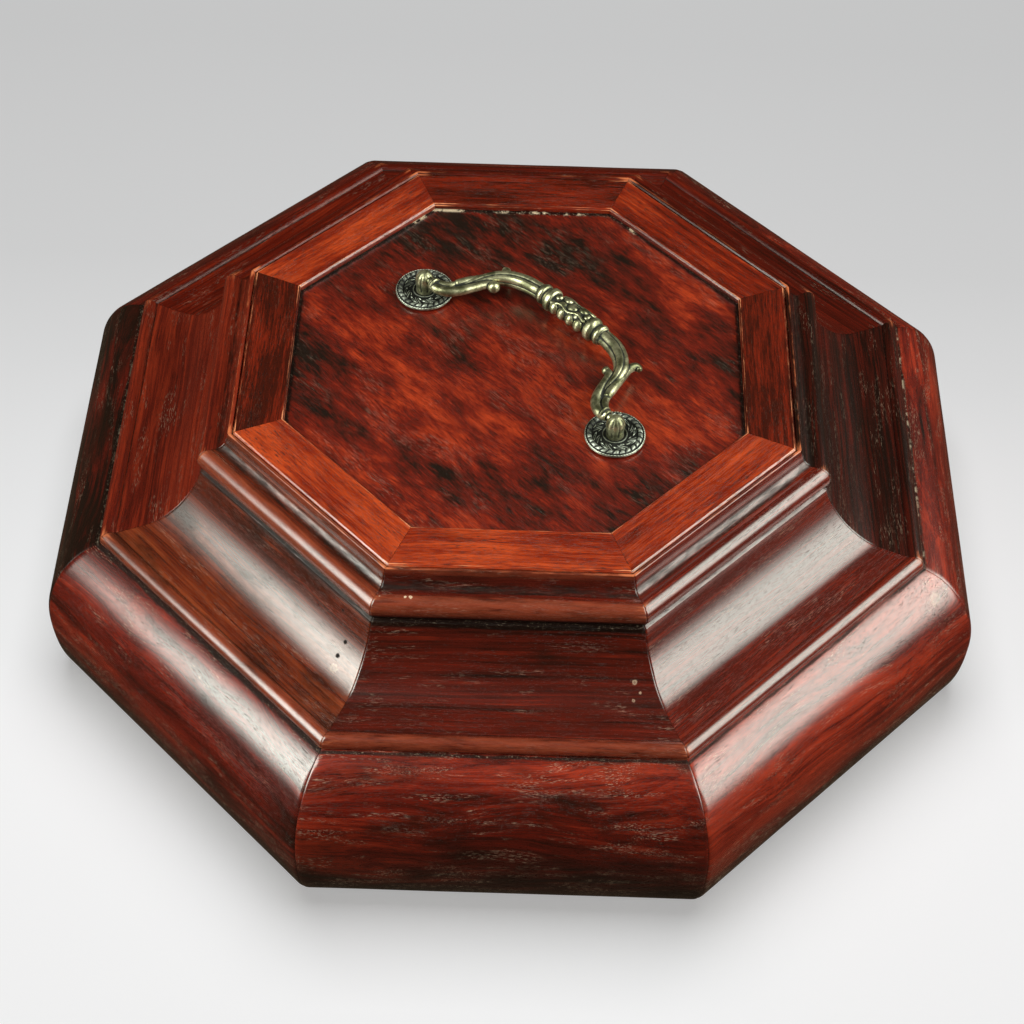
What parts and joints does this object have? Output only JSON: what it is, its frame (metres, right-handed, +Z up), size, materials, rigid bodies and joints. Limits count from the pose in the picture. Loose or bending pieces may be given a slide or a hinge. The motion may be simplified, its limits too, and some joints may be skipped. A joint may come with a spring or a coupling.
{
  "type": "lidded wooden box",
  "caption": "Octagonal lidded wooden storage box with a bulging body, a moulded lift-off lid and a swinging brass bail handle on top.",
  "frame": {"origin": "middle of the underside", "axes": "+Z up; -Y is the front flat side of the octagon; the handle's line runs from back left (-X, +Y) to front right (+X, -Y)"},
  "size_m": [0.3244, 0.3244, 0.1028],
  "materials": {
    "body_wood": "dark red-brown rosewood under glossy lacquer",
    "moulding_wood": "red-brown rosewood under glossy lacquer, worn arrises",
    "rail_wood": "orange-brown rosewood under satin lacquer",
    "panel_wood": "figured red and near-black rosewood under satin lacquer",
    "board_wood": "plain unpolished hardwood",
    "brass": "antique brass, dark in the recesses and rubbed bright on the crowns"
  },
  "bodies": {
    "box": {"bottom_board": "board_wood", "body_wall_front": "body_wood", "body_wall_front_right": "body_wood", "body_wall_right": "body_wood", "body_wall_back_right": "body_wood", "body_wall_back": "body_wood", "body_wall_back_left": "body_wood", "body_wall_left": "body_wood", "body_wall_front_left": "body_wood", "lid_moulding_front": "moulding_wood", "lid_moulding_front_right": "moulding_wood", "lid_moulding_right": "moulding_wood", "lid_moulding_back_right": "moulding_wood", "lid_moulding_back": "moulding_wood", "lid_moulding_back_left": "moulding_wood", "lid_moulding_left": "moulding_wood", "lid_moulding_front_left": "moulding_wood", "lid_rail_front": "rail_wood", "lid_rail_front_right": "rail_wood", "lid_rail_right": "rail_wood", "lid_rail_back_right": "rail_wood", "lid_rail_back": "rail_wood", "lid_rail_back_left": "rail_wood", "lid_rail_left": "rail_wood", "lid_rail_front_left": "rail_wood", "lid_panel": "panel_wood", "rosette_left": "brass", "rosette_right": "brass", "post_left": "brass", "post_right": "brass"},
    "bail": {"bail": "brass"}
  },
  "joints": [
    {"name": "bail_swing", "type": "hinge", "parent": "box", "child": "bail", "pos_m": [0, 0, 0.1001], "axis": [0.7071, -0.7071, 0], "range_deg": [0, 187.3]}
  ]
}
